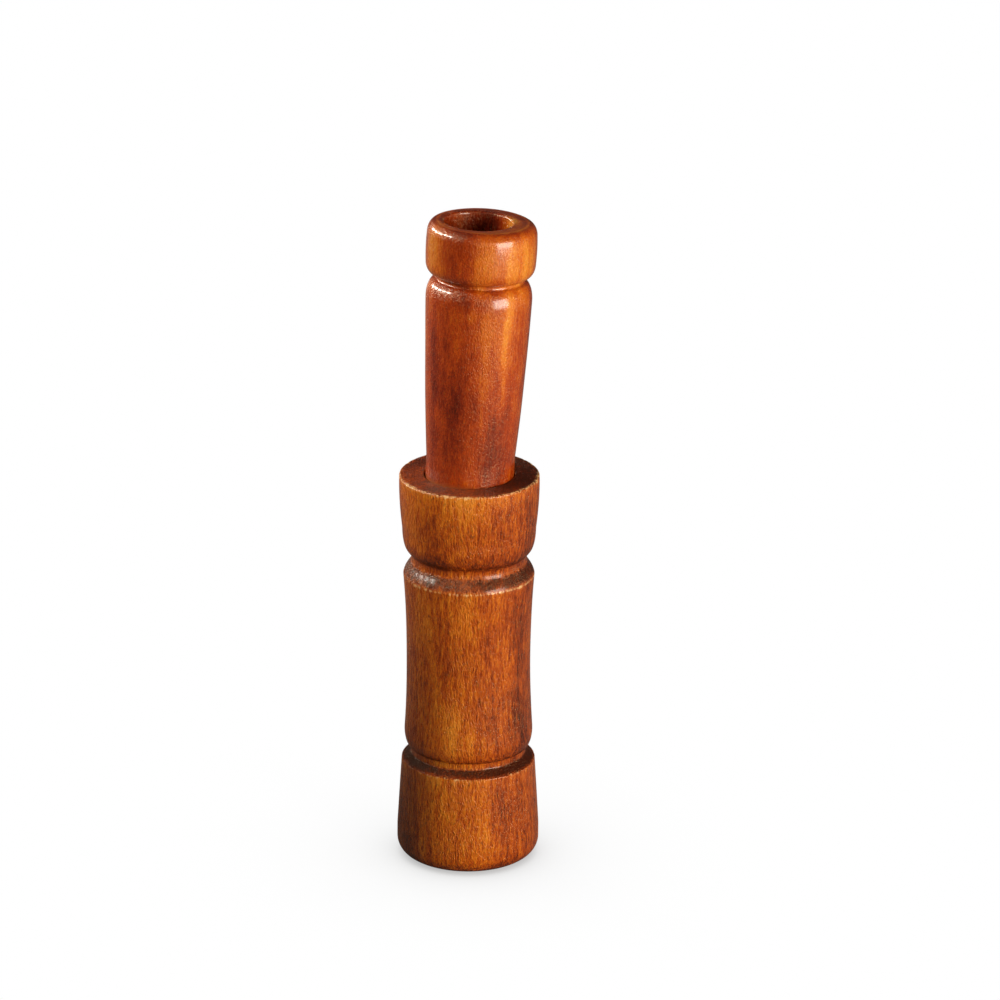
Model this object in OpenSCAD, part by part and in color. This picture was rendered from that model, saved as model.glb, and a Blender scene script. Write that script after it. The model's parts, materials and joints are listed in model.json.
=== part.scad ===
// Wooden duck call: a turned barrel with a turned insert plugged into its upper end.
// It stands on its mouthpiece. The insert carries the tone board, the reed and the wedge,
// and it has rocked a little to one side on its sealing ring.

/* [Barrel] */
// Height of the barrel, standing on its mouthpiece
barrel_len = 85; // [78:0.5:110]
// Widest diameter of the mouthpiece section
foot_d = 29.9; // [29:0.1:36]
// Height of the mouthpiece section, up to its lip
foot_len = 21.6; // [16:0.1:28]
// Height at which the mouthpiece section is widest
foot_widest = 6.5; // [5:0.1:12]
// Rounding of the mouthpiece's lower edge
foot_round = 3.6; // [1.5:0.1:4]
// Diameter of the mouthpiece section at its lip
lip_d = 28.1; // [26.5:0.1:32]
// Diameter of the body at its lower end
body_end_d = 27; // [25.5:0.1:32]
// Diameter of the body at its upper shoulder
body_top_d = 27.5; // [25.5:0.1:32]
// How far the body is drawn in at its waist
body_hollow = 0.66; // [0:0.02:1.2]
// Height of the rounding at the body's lower end
body_round = 3.6; // [1:0.1:6]
// Height of the collar above the upper groove
collar_len = 17.1; // [12:0.1:24]
// Diameter of the collar just above its rounded lower edge
collar_foot_d = 28; // [26:0.1:33]
// Diameter of the collar at its top
collar_d = 29.25; // [27:0.05:36]
// How far the collar's side swells between the two
collar_swell = 0.22; // [0:0.02:0.6]
// Height of the rounding at the collar's lower edge
collar_round = 5.4; // [1:0.1:7]
// Small bevel that breaks a sharp edge
edge_break = 0.25; // [0.1:0.05:0.6]

/* [Grooves] */
// Floor diameter of the two barrel grooves
groove_d = 24; // [22.8:0.1:25]
// Width of the lower groove's floor
foot_groove_w = 1.6; // [1:0.1:4]
// Height of the slope from the mouthpiece's lip into the lower groove
lip_slope = 1.4; // [0.6:0.1:3]
// Width of the upper groove's floor
collar_groove_w = 2; // [1:0.1:4]
// Height of the slope from the body's shoulder into the upper groove
shoulder_slope = 2.9; // [0.8:0.1:4]
// How far the shoulder's slope is rounded out
shoulder_swell = 0.25; // [0:0.01:0.3]
// Level ledge where a rounded end overhangs its groove
groove_ledge = 0.3; // [0.1:0.05:0.6]

/* [Insert] */
// Length of the insert above the barrel's mouth
insert_reach = 54.6; // [44:0.1:75]
// Diameter of the neck where it enters the barrel
neck_foot_d = 18.5; // [17:0.1:20]
// Height of the straight foot of the neck
neck_foot_len = 4; // [1:0.1:8]
// Widest diameter of the neck
neck_d = 22.05; // [20:0.05:26]
// How far the neck's taper swells in the middle
neck_swell = 0.2; // [0:0.02:0.6]
// Height of the rounded shoulder at the neck's top
neck_round = 4; // [1:0.1:6]
// Floor diameter of the groove under the bead
neck_groove_d = 18.4; // [16.5:0.1:20]
// Width of that groove's floor
neck_groove_w = 1; // [0.4:0.1:3]
// Diameter of the bead at the insert's top
bead_d = 22.8; // [20:0.1:28]
// Height of the bead
bead_len = 11.3; // [8:0.1:18]
// Rounding of the bead's edges, measured along the insert
bead_round = 2.6; // [0.8:0.1:3.5]
// Width of the bead's rounding at the top face
bead_crown = 1.9; // [0.5:0.1:2.2]
// How far the bead's side swells
bead_swell = 0.1; // [0:0.02:0.4]
// Length of the tenon inside the barrel
tenon_len = 14; // [10:0.5:22]
// Diameter of the tenon at its lower end
tenon_tip_d = 17.4; // [16.4:0.1:19]

/* [Bores] */
// Diameter of the hole that is blown into
mouth_bore_d = 14.4; // [10:0.1:17]
// Rounding of that hole's edge
mouth_lip = 1.2; // [0.4:0.1:1.6]
// Room between the tone board's tip and the floor of the chamber
tip_room = 3; // [1:0.5:8]
// Length of the cone from the chamber down to the mouth hole
chamber_cone = 1.5; // [0.5:0.1:4]
// Least clearance between the rocked insert and the chamber's wall
bore_clear = 0.1; // [0.06:0.01:0.4]
// Small bevel at the chamber's mouth
mouth_break = 0.1; // [0.05:0.05:0.4]
// Diameter of the sound bore in the insert
exhaust_d = 10.4; // [7:0.1:11.5]
// Diameter of the flared opening in the bead
flare_d = 15.2; // [13:0.1:17]
// Depth of the flare
flare_len = 24; // [10:0.5:30]
// How far the flare wandered off the insert's axis
flare_drift = 0.9; // [0:0.1:1.2]
// Rounding of the flare's edge
flare_lip = 0.5; // [0.2:0.05:0.8]

/* [Seal and lean] */
// Depth of the sealing ring's middle below the barrel's mouth
ring_depth = 2.4; // [1.6:0.1:6]
// Thickness of the sealing ring
ring_section = 1.8; // [1.4:0.1:2]
// Clearance on each side of the sealing ring
ring_gap = 0.05; // [0.02:0.01:0.1]
// Angle by which the insert has rocked on its ring
lean = 3.4; // [0:0.1:3.8]
// Direction of the lean, counted from the right towards the back
lean_towards = 40; // [0:5:355]

/* [Tone board] */
// Diameter of the tone board
board_d = 12.2; // [11.6:0.1:13]
// Length of the stem held in the insert
socket_len = 18; // [12:0.5:24]
// Glue line round the stem
glue_line = 0.05; // [0.02:0.01:0.1]
// Length of the full-round stem that shows below the insert
stem_out = 6; // [4:0.5:10]
// Depth of the tone board's tip below the barrel's mouth
board_reach = 58; // [48:0.5:62]
// Height of the reed's face above the board's axis
face_up = 1; // [0:0.1:2]
// Angle by which the face falls away from the reed
face_relief = 2; // [1.8:0.1:4]
// Width of the sound channel
channel_w = 5.6; // [3:0.1:6.5]
// Distance from the tip to the channel's end
channel_stop = 7; // [5:0.5:14]
// Length of the rounded nose
nose_len = 9; // [3:0.5:14]
// Diameter of the nose at the tip
nose_d = 7; // [4:0.1:10]

/* [Reed and wedge] */
// Width of the reed
reed_w = 11; // [7:0.1:11.6]
// Thickness of the reed
reed_t = 0.25; // [0.2:0.05:0.4]
// Distance from the board's tip to the reed's tip
reed_setback = 0.5; // [0:0.1:4]
// Rounding of the reed's tip corners
reed_corner = 2; // [0.5:0.1:4]
// Gap between the reed and what it rests on or is held by
reed_gap = 0.03; // [0.02:0.01:0.05]
// Height of the notch that holds the wedge
notch_h = 3.2; // [2:0.1:3.6]
// Angle by which the notch's seat and the wedge's underside open behind the reed's ridge
root_relief = 2.5; // [2:0.1:5]
// Width of the wedge
wedge_w = 8.8; // [6:0.1:9.4]

/* [Hidden] */
$fn = 96;
curve_steps = 8;
swell_steps = 12;
past = 1;
wood_barrel = [0.64, 0.30, 0.09];
wood_insert = [0.66, 0.27, 0.08];
black_plastic = [0.07, 0.07, 0.075];
milky_film = [0.88, 0.88, 0.82];
cork = [0.74, 0.56, 0.36];
black_rubber = [0.05, 0.05, 0.05];

// Radii
foot_r = foot_d / 2;
lip_r = lip_d / 2;
body_end_r = body_end_d / 2;
body_top_r = body_top_d / 2;
collar_foot_r = collar_foot_d / 2;
collar_r = collar_d / 2;
groove_r = groove_d / 2;
neck_foot_r = neck_foot_d / 2;
neck_r = neck_d / 2;
neck_groove_r = neck_groove_d / 2;
bead_r = bead_d / 2;
tenon_tip_r = tenon_tip_d / 2;
mouth_bore_r = mouth_bore_d / 2;
exhaust_r = exhaust_d / 2;
flare_r = flare_d / 2;
board_r = board_d / 2;
socket_r = board_r + glue_line;

// Heights on the barrel
foot_groove_z = foot_len + lip_slope;
body_z = foot_groove_z + foot_groove_w;
collar_z = barrel_len - collar_len;
collar_groove_z = collar_z - collar_groove_w;
shoulder_z = collar_groove_z - shoulder_slope;

// Heights on the insert, before it rocks
ring_z = barrel_len - ring_depth;
tenon_z = barrel_len - tenon_len;
top_z = barrel_len + insert_reach;
bead_z = top_z - bead_len;
neck_groove_z = bead_z - neck_groove_w;
neck_shoulder_z = neck_groove_z - neck_round;
socket_z = tenon_z + socket_len;
stem_z = tenon_z - stem_out;
tip_z = barrel_len - board_reach;
notch_z = tenon_z;
notch_len = notch_z - stem_z;

// The chamber takes the insert at its lean: the part that swings widest sets its radius
function rock(z) = abs(z - ring_z) * sin(lean);
bore_r = bore_clear + max(
    neck_foot_r + rock(barrel_len),
    tenon_tip_r + rock(tenon_z),
    board_r + rock(tip_z));
chamber_z = tip_z - tip_room;
mouth_bore_z = chamber_z - chamber_cone;

// The sealing ring fills the chamber's bore, and its groove in the tenon follows
ring_r = bore_r - ring_gap - ring_section / 2;
ring_floor_r = ring_r - ring_section / 2 - ring_gap;
ring_half_w = ring_section / 2 + ring_gap;

// Quarter of an ellipse that leaves a level face and ends upright
function rise(from, to) = [
    for (i = [0:curve_steps])
        let (a = 90 * i / curve_steps)
        [from.x + (to.x - from.x) * sin(a), from.y + (to.y - from.y) * (1 - cos(a))]
];

// Quarter of an ellipse that leaves an upright side and ends level
function fold(from, to) = [
    for (i = [0:curve_steps])
        let (a = 90 * i / curve_steps)
        [from.x + (to.x - from.x) * (1 - cos(a)), from.y + (to.y - from.y) * sin(a)]
];

// Points between two ends of a side that swells outwards, or is hollowed if belly is negative
function swell(from, to, belly) = [
    for (i = [1:swell_steps - 1])
        let (t = i / swell_steps)
        [from.x + (to.x - from.x) * t + 4 * belly * t * (1 - t), from.y + (to.y - from.y) * t]
];

// Radius of the tenon's straight taper at a height
function tenon_r(z) = tenon_tip_r + (neck_foot_r - tenon_tip_r) * (z - tenon_z) / tenon_len;

// Side of the barrel, from the mouthpiece's edge up to the collar's top
function barrel_side() = concat(
    rise([foot_r - foot_round, 0], [foot_r, foot_round]),
    [[foot_r, foot_widest]],
    [[lip_r, foot_len]],
    [[groove_r, foot_groove_z]],
    [[groove_r, body_z]],
    rise([groove_r + groove_ledge, body_z], [body_end_r, body_z + body_round]),
    swell([body_end_r, body_z + body_round], [body_top_r, shoulder_z], -body_hollow),
    [[body_top_r, shoulder_z]],
    swell([body_top_r, shoulder_z], [groove_r, collar_groove_z], shoulder_swell),
    [[groove_r, collar_groove_z]],
    [[groove_r, collar_z]],
    rise([groove_r + groove_ledge, collar_z], [collar_foot_r, collar_z + collar_round]),
    swell([collar_foot_r, collar_z + collar_round], [collar_r, barrel_len - edge_break], collar_swell),
    [[collar_r, barrel_len - edge_break]],
    [[collar_r - edge_break, barrel_len]]
);

// Inside of the barrel, from its mouth down through the chamber to the blowing hole
function barrel_inside() = concat(
    [[bore_r + mouth_break, barrel_len]],
    [[bore_r, barrel_len - mouth_break]],
    [[bore_r, chamber_z]],
    [[mouth_bore_r, mouth_bore_z]],
    fold([mouth_bore_r, mouth_lip], [mouth_bore_r + mouth_lip, 0])
);

// Side of the insert, from the tenon's end up to the bead's crown
function insert_side() = concat(
    [[tenon_tip_r - edge_break, tenon_z]],
    [[tenon_tip_r, tenon_z + edge_break]],
    [[tenon_r(ring_z - ring_half_w), ring_z - ring_half_w]],
    [[ring_floor_r, ring_z - ring_half_w]],
    [[ring_floor_r, ring_z + ring_half_w]],
    [[tenon_r(ring_z + ring_half_w), ring_z + ring_half_w]],
    [[neck_foot_r, barrel_len]],
    [[neck_foot_r, barrel_len + neck_foot_len]],
    swell([neck_foot_r, barrel_len + neck_foot_len], [neck_r, neck_shoulder_z], neck_swell),
    fold([neck_r, neck_shoulder_z], [neck_groove_r, neck_groove_z]),
    [[neck_groove_r, bead_z]],
    rise([neck_groove_r + groove_ledge, bead_z], [bead_r, bead_z + bead_round]),
    swell([bead_r, bead_z + bead_round], [bead_r, top_z - bead_round], bead_swell),
    fold([bead_r, top_z - bead_round], [bead_r - bead_crown, top_z])
);

// Inside of the insert before the flare is cut
function insert_inside() = [
    [exhaust_r, top_z],
    [exhaust_r, socket_z],
    [socket_r, socket_z],
    [socket_r, tenon_z]
];

// Turns an outline of [radius, height] points round the upright axis
module lathe(outline) {
    rotate_extrude() polygon(outline);
}

// Carries a side view, drawn as [depth, height], across the width of the tone board
module across(width) {
    rotate([90, 0, 90])
        linear_extrude(width, center = true)
            children();
}

// Rocks what belongs to the insert about the middle of the sealing ring
module rocked() {
    translate([0, 0, ring_z])
        rotate([0, 0, lean_towards])
            rotate([0, lean, 0])
                rotate([0, 0, -lean_towards])
                    translate([0, 0, -ring_z])
                        children();
}

module barrel() {
    color(wood_barrel)
        lathe(concat(barrel_side(), barrel_inside()));
}

// The reamer that flares the insert's opening, and rounds its edge
module flare() {
    lip_z = top_z - flare_lip;
    translate([-flare_drift, 0, 0])
        lathe(concat(
            [[0, top_z - flare_len]],
            [[exhaust_r, top_z - flare_len]],
            fold([flare_r - flare_lip, lip_z], [flare_r, top_z]),
            [[flare_r, top_z + past]],
            [[0, top_z + past]]
        ));
}

module insert() {
    color(wood_insert)
        rocked()
            difference() {
                lathe(concat(insert_side(), insert_inside()));
                flare();
            }
}

module o_ring() {
    color(black_rubber)
        rocked()
            translate([0, 0, ring_z])
                rotate_extrude()
                    translate([ring_r, 0])
                        circle(d = ring_section);
}

// Round stock of the tone board, with its nose at the lower end
module board_stock() {
    lathe(concat(
        [[0, tip_z]],
        rise([nose_d / 2, tip_z], [board_r, tip_z + nose_len]),
        [[board_r, socket_z]],
        [[0, socket_z]]
    ));
}

// What is cut away in front of the reed: the face, which falls from a ridge, and the wedge's notch
module face_cut() {
    face_len = stem_z - tip_z + past;
    across(board_d + 2 * past)
        polygon([
            [-face_up, stem_z],
            [-face_up + face_len * tan(face_relief), tip_z - past],
            [-board_r - past, tip_z - past],
            [-board_r - past, stem_z],
            [-face_up - notch_h, stem_z],
            [-face_up - notch_h, notch_z],
            [-face_up + notch_len * tan(root_relief), notch_z]
        ]);
}

// The trough under the reed, which goes on as a round hole through the stem and leaves the notch's roof whole
module sound_channel() {
    channel_z = tip_z + channel_stop;
    open_h = face_up + notch_h / 2;
    translate([0, 0, channel_z]) {
        cylinder(d = channel_w, h = socket_z - channel_z + past);
        translate([-channel_w / 2, -open_h, 0])
            cube([channel_w, open_h, notch_z - channel_z]);
    }
}

module tone_board() {
    color(black_plastic)
        rocked()
            difference() {
                board_stock();
                face_cut();
                sound_channel();
            }
}

// Outline of the reed: square at its root, rounded at its tip
module reed_outline() {
    half = reed_w / 2;
    low = tip_z + reed_setback;
    root = notch_z - reed_gap;
    polygon(concat(
        [[-half, root]],
        fold([-half, low + reed_corner], [-half + reed_corner, low]),
        rise([half - reed_corner, low], [half, low + reed_corner]),
        [[half, root]]
    ));
}

module reed() {
    color(milky_film)
        rocked()
            translate([0, -face_up - reed_gap, 0])
                rotate([90, 0, 0])
                    linear_extrude(reed_t)
                        reed_outline();
}

// Block that is pushed into the notch and holds the reed down along its front edge
module wedge() {
    hold = -face_up - 2 * reed_gap - reed_t;
    roof = -face_up - notch_h + reed_gap;
    back_z = notch_z - reed_gap;
    color(cork)
        rocked()
            across(wedge_w)
                polygon([
                    [hold, stem_z],
                    [hold - (back_z - stem_z) * tan(root_relief), back_z],
                    [roof, back_z],
                    [roof, stem_z]
                ]);
}

barrel();
insert();
o_ring();
tone_board();
reed();
wedge();
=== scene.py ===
# %% [markdown]
# # A turned duck call
# The call stands on its mouthpiece. Its wooden barrel has two grooves and a collar, and a wooden
# insert is plugged into the collar's mouth. Inside, the insert carries a plastic tone board, a
# film reed and a cork wedge, and a rubber ring holds it by friction. The solids come from the
# frame, and this lesson gives them their worn edges and finishes.

# %% Load the frame
import json
import math

import bmesh
import bpy
import numpy as np
from mathutils import Matrix, Vector


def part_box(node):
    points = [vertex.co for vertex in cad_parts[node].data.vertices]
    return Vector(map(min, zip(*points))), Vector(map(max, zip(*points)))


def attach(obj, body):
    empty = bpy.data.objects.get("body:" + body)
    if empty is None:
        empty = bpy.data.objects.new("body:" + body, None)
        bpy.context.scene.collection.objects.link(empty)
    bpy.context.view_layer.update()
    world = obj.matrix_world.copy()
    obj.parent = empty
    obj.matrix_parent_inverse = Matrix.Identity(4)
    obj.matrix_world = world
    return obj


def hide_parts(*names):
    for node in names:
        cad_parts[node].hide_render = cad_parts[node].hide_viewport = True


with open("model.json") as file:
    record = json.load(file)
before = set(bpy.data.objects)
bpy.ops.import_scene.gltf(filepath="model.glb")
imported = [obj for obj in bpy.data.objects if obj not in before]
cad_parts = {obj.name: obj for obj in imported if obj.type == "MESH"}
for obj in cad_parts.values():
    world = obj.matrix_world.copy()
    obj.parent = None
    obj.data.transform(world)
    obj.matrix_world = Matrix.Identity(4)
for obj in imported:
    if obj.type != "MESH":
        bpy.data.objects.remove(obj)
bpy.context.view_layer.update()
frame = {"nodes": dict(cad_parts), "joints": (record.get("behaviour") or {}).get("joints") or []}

print("nodes in the frame:", sorted(frame["nodes"]))

# %% [markdown]
# ## The camera
# The picture was taken from about a metre and a half away with a long lens, looking down by a
# little over a fifth of a right angle. The focal length and the tilt were worked out from the
# ellipses of the rim, the collar and the base. The base's middle is pinned to its pixel, and the
# small roll leans the picture as the photograph leans.

# %% Camera
SENSOR_MM = 36.0
PICTURE_PX = 1000
FOCAL_PX = 6900
LOOK_DOWN = math.radians(20.4)
ROLL = math.radians(0.33)
CAMERA_DISTANCE = 1.4659
BASE_PX = (469.75, 849.0)


def add_object(name, data):
    """New object of this data, linked to the scene."""
    made = bpy.data.objects.new(name, data)
    bpy.context.scene.collection.objects.link(made)
    return made


forward = Vector((0, math.cos(LOOK_DOWN), -math.sin(LOOK_DOWN)))
level_right = Vector((1, 0, 0))
level_up = level_right.cross(forward)
base_right = (BASE_PX[0] - PICTURE_PX / 2) / FOCAL_PX
base_up = (PICTURE_PX / 2 - BASE_PX[1]) / FOCAL_PX
camera_place = -CAMERA_DISTANCE * (forward + base_right * level_right + base_up * level_up)
camera_right = math.cos(ROLL) * level_right + math.sin(ROLL) * level_up
camera_up = math.cos(ROLL) * level_up - math.sin(ROLL) * level_right

camera_data = bpy.data.cameras.new("camera")
camera_data.sensor_width = SENSOR_MM
camera_data.lens = SENSOR_MM * FOCAL_PX / PICTURE_PX
camera = add_object("camera", camera_data)
camera_turn = Matrix((camera_right, camera_up, -forward)).transposed().to_4x4()
camera.matrix_world = Matrix.Translation(camera_place) @ camera_turn
bpy.context.scene.camera = camera
print("camera at", tuple(round(value, 3) for value in camera_place))

# %% [markdown]
# ## From an outline to a round piece
# A lathe turns one outline into a whole piece, and numpy can do the same: every point of the
# outline becomes a ring. Spin or Screw would do it too, but a grid that is worked out as arrays
# lets each point move a little, for chipped edges and an uneven hand. The outline is a closed
# loop that runs up the outside and down through the bore.

# %% Curves of the outline
MM = 0.001
CURVE_POINTS = 24
quarter_turn = np.linspace(0, np.pi / 2, CURVE_POINTS)


def on_the_way(start, end, across, up):
    """Points from start to end, by their shares of the way across and up."""
    return np.array(start) + (np.array(end) - start) * np.stack([across, up], axis=-1)


def rise(start, end):
    """Quarter of an ellipse that leaves a level face and ends upright: a sine across, one
    minus a cosine upwards."""
    return on_the_way(start, end, np.sin(quarter_turn), 1 - np.cos(quarter_turn))


def fold(start, end):
    """Quarter of an ellipse that leaves an upright side and ends level: one minus a cosine
    across, a sine upwards."""
    return on_the_way(start, end, 1 - np.cos(quarter_turn), np.sin(quarter_turn))


def swell(start, end, belly):
    """Straight side that swells by a parabola, 4 t (1 - t) times its belly, or is hollowed by
    a negative belly."""
    share = np.linspace(0, 1, CURVE_POINTS)
    bow = np.stack([4 * belly * share * (1 - share), 0 * share], axis=-1)
    return on_the_way(start, end, share, share) + bow


print("a quarter round has", len(rise((0, 0), (1, 1))), "points")

# %% [markdown]
# Use rounds every sharp corner. The outline is walked in fine even steps, and each point is
# averaged with its neighbours by a bell curve, which leaves straight stretches alone and rounds
# the corners. How fast the heading turns then tells edges, which stand out and wear, from
# hollows, which a wider bell curve fills because stain and lacquer collect there. A groove that
# was cut with a round tool can be given by its level: the widest bell curve rounds its floor and
# its lips. Rings crowd where the outline bends.

# %% Walk along the outline
def softened(loop, step, reach):
    """Bell-curve average round a closed loop, as a product of the two curves' frequencies."""
    frequency = np.fft.fftfreq(len(loop), step)
    return np.fft.ifft(np.fft.fft(loop) * np.exp(-2 * (np.pi * frequency * reach) ** 2))


def ramp(values, low, high):
    """Share of the way from low to high, held between 0 and 1."""
    return np.clip((values - low) / (high - low), 0, 1)


def heading_and_bend(line, step):
    """Unit heading of a closed line of complex points, and how fast it turns to the left, in
    radians per millimetre."""
    heading = np.roll(line, -1) - np.roll(line, 1)
    heading = heading / np.abs(heading)
    return heading, np.angle(np.roll(heading, -1) / np.roll(heading, 1)) / (2 * step)


print("a ramp from 1 to 3 gives", ramp(np.array([0, 2, 4]), 1, 3))

# %% Wear along the outline
# Reaches and steps are in millimetres, bends in radians per millimetre
WALK_STEP = 0.02
WEAR_REACH = 0.12
POOL_REACH = 0.32
POOL_FULL = 0.4
SOFT_REACH = 0.75
MASK_REACH = 0.38
RUB_REACH = 1.1
SHARP_BEND = (0.7, 2.2)
RING_STEP = 0.75
RINGS_PER_BEND = 5.0
BEND_LIMIT = 4.0


def worn_outline(corners, rings, soft_level=0.0, soft_half=0.0):
    """Rings of a closed outline of (across, up) points in millimetres, given anticlockwise. A
    point is the complex number across + i up, and its outward direction is the heading times
    -i. Edge and hollow say where it bends, rub is a wider edge, and end_grain, the level part
    of the heading squared, says how squarely it cuts the grain. Within soft_half of soft_level
    a wide bell curve rounds the line once more."""
    loop = np.append(corners @ [1, 1j], corners[0] @ [1, 1j])
    stations = np.append(0, np.cumsum(np.abs(np.diff(loop))))
    count = int(stations[-1] / WALK_STEP)
    walk, step = np.linspace(0, stations[-1], count, endpoint=False, retstep=True)
    sharp = np.interp(walk, stations, loop)
    line = softened(sharp, step, WEAR_REACH)
    _, bend = heading_and_bend(line, step)
    standing_out, falling_in = ramp(bend, *SHARP_BEND), ramp(-bend, *SHARP_BEND)
    edge = softened(standing_out, step, MASK_REACH).real
    rub = softened(standing_out, step, RUB_REACH).real
    hollow = softened(falling_in, step, MASK_REACH).real
    line = line + ramp(hollow, 0, POOL_FULL) * (softened(sharp, step, POOL_REACH) - line)
    if soft_half:
        soft = np.exp(-((line.imag - soft_level) / soft_half) ** 4)
        hollow = hollow * (1 - soft)
        line = line + soft * (softened(sharp, step, SOFT_REACH) - line)
    heading, bend = heading_and_bend(line, step)
    crowding = np.cumsum(1 / RING_STEP + RINGS_PER_BEND * np.minimum(np.abs(bend), BEND_LIMIT))
    evenly = np.linspace(crowding[0], crowding[-1], rings, endpoint=False)
    picks = np.interp(evenly, crowding, walk)
    along = {"point": line, "outward": -1j * heading, "edge": edge, "rub": rub,
             "hollow": hollow, "end_grain": heading.real ** 2}
    return {name: np.interp(picks, walk, values)[:, None] for name, values in along.items()}


print("corners are averaged over", WEAR_REACH, "mm")

# %% [markdown]
# A ring and an angle name every point of a turned piece. The angle runs from the front, where the
# camera is, to the right. Small seeded waves that close round the piece stand for the hand of the
# turner, and where they pass a threshold on a worn edge they become chips.

# %% Rings and faces
AROUND = 256
angle = np.linspace(0, 2 * np.pi, AROUND, endpoint=False)[None, :]


def point_grid(right, back, up):
    """Grid of points from their three coordinates, each spread to the shape of all."""
    return np.stack(np.broadcast_arrays(right, back, up), axis=-1)


def turned_points(radius, height):
    """Grid of points: radius times the sine of the angle to the right, minus its cosine to the
    back."""
    return point_grid(radius * np.sin(angle), -radius * np.cos(angle), height)


def loop_faces(rows, columns):
    """Quads of a grid that closes both ways: each point joins the next in its row and the same
    two of the next row."""
    row, column = np.meshgrid(np.arange(rows), np.arange(columns), indexing="ij")
    next_row, next_column = (row + 1) % rows, (column + 1) % columns
    quad = (row * columns + column, row * columns + next_column,
            next_row * columns + next_column, next_row * columns + column)
    return np.stack(quad, axis=-1).reshape(-1, 4)


print("each ring has", AROUND, "points")

# %% Uneven hand and chips
UNEVEN = 0.05
HAND_TURNS = 4
CHIP_DEPTH = 0.16
CHIP_TURNS = 70
CHIP_PITCH = 2.0


def waves(angle, height, seed, turns, pitch, count=28):
    """Smooth unevenness of about -1 to 1: a sum of cosines that go round a whole number of
    times, up to turns, and drift along the piece with a wavelength of about pitch."""
    draw = np.random.default_rng(seed)
    times = draw.integers(1, turns + 1, count)
    drift = draw.normal(0, 2 * np.pi / pitch, count)
    phase = draw.uniform(0, 2 * np.pi, count)
    total = np.cos(angle[..., None] * times + height[..., None] * drift + phase).sum(axis=-1)
    return total / math.sqrt(2 * count)


def chipping(rings, seed, threshold):
    """How far fine waves pass a threshold, from 0 to 1."""
    fine = waves(angle, rings["point"].imag, seed, CHIP_TURNS, CHIP_PITCH)
    return ramp(fine, threshold, 1.0)


def worked_surface(rings, seed, pitch, worked, wear):
    """Radius and height of each point. Where the piece is worked, the hand's slow waves move
    the point along its outward direction, and wear cuts it back by up to a chip's depth."""
    hand = waves(angle, rings["point"].imag, seed, HAND_TURNS, pitch)
    offset = worked * (UNEVEN * hand - CHIP_DEPTH * wear)
    moved = rings["point"] + rings["outward"] * offset
    return moved.real, moved.imag


print("chips are up to", CHIP_DEPTH, "mm deep")

# %% [markdown]
# The arrays go into a mesh with foreach_set, which copies them whole. Masks become point
# attributes that the finishes read. Each piece rides on its body in the frame and stands for the
# solid that it replaces.

# %% Make a piece
def add_piece(name, points, faces, body, stands_for, masks=()):
    """Object of one mesh from points in millimetres and quads, facing outwards, with its masks
    as attributes."""
    mesh = bpy.data.meshes.new(name)
    mesh.vertices.add(len(points))
    mesh.vertices.foreach_set("co", (points * MM).astype(np.float32).ravel())
    mesh.loops.add(faces.size)
    mesh.loops.foreach_set("vertex_index", faces.astype(np.int32).ravel())
    mesh.polygons.add(len(faces))
    mesh.polygons.foreach_set("loop_start", np.arange(0, faces.size, 4, dtype=np.int32))
    mesh.polygons.foreach_set("use_smooth", np.ones(len(faces), dtype=bool))
    mesh.update(calc_edges=True)
    for mask, values in dict(masks).items():
        layer = mesh.attributes.new(mask, "FLOAT", "POINT")
        layer.data.foreach_set("value", values.astype(np.float32).ravel())
    piece = add_object(name, mesh)
    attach(piece, body)
    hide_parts(stands_for)
    return piece


def spread(masks):
    """Masks of a turned piece, those given once for each ring spread round all its points."""
    return {mask: values + 0 * angle for mask, values in masks.items()}


def volume(points, faces):
    """Signed volume of a closed mesh, in cubic millimetres: a sixth of the triple products of
    its triangles."""
    triangles = np.vstack([faces[:, [0, 1, 2]], faces[:, [0, 2, 3]]])
    a, b, c = (points[triangles[:, corner]] for corner in range(3))
    return np.einsum("ij,ij->", a, np.cross(b, c)) / 6


# %% [markdown]
# ## The barrel
# The barrel is one turned piece: a mouthpiece section that swells near the table, a groove, a
# waisted body, a second groove and a collar. Each lip falls into its groove by a slope, and the
# end above each groove is rounded over it. The outline repeats the solid's own sizes, so that the
# worn mesh stays within a fraction of a millimetre of it. Only the upper groove's floor is
# rounder than the solid's.

# %% Sizes of the barrel, in millimetres
BARREL_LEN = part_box("barrel")[1].z / MM
FOOT_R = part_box("barrel")[1].x / MM
FOOT_ROUND = 3.6
FOOT_WIDEST = 6.5
LIP = (14.05, 21.6)
GROOVE_R = 12.0
FOOT_GROOVE_W = 1.6
LIP_SLOPE = 1.4
COLLAR_GROOVE_W = 2.0
SHOULDER_SLOPE = 2.9
SHOULDER_SWELL = 0.25
GROOVE_LEDGE = 0.3
GROOVE_SOFT_HALF = 2.2
BODY_END_R = 13.5
BODY_ROUND = 3.6
BODY_HOLLOW = 0.66
BODY_TOP_R = 13.75
COLLAR_LEN = 17.1
COLLAR_FOOT_R = 14.0
COLLAR_R = 14.625
COLLAR_ROUND = 5.4
COLLAR_SWELL = 0.22
EDGE_BREAK = 0.25
MOUTH_BREAK = 0.1
BORE_R = 9.497
CHAMBER_Z = 24.0
MOUTH_BORE_R = 7.2
MOUTH_BORE_Z = 22.5
MOUTH_LIP = 1.2

foot_groove_z = LIP[1] + LIP_SLOPE
body_z = foot_groove_z + FOOT_GROOVE_W
collar_z = BARREL_LEN - COLLAR_LEN
collar_groove_z = collar_z - COLLAR_GROOVE_W
shoulder_z = collar_groove_z - SHOULDER_SLOPE
barrel_top = BARREL_LEN - EDGE_BREAK
print("grooves end at", round(body_z, 2), "and", round(collar_z, 2), "mm above the table")

# %% Outline of the barrel
RINGS = 380

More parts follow.
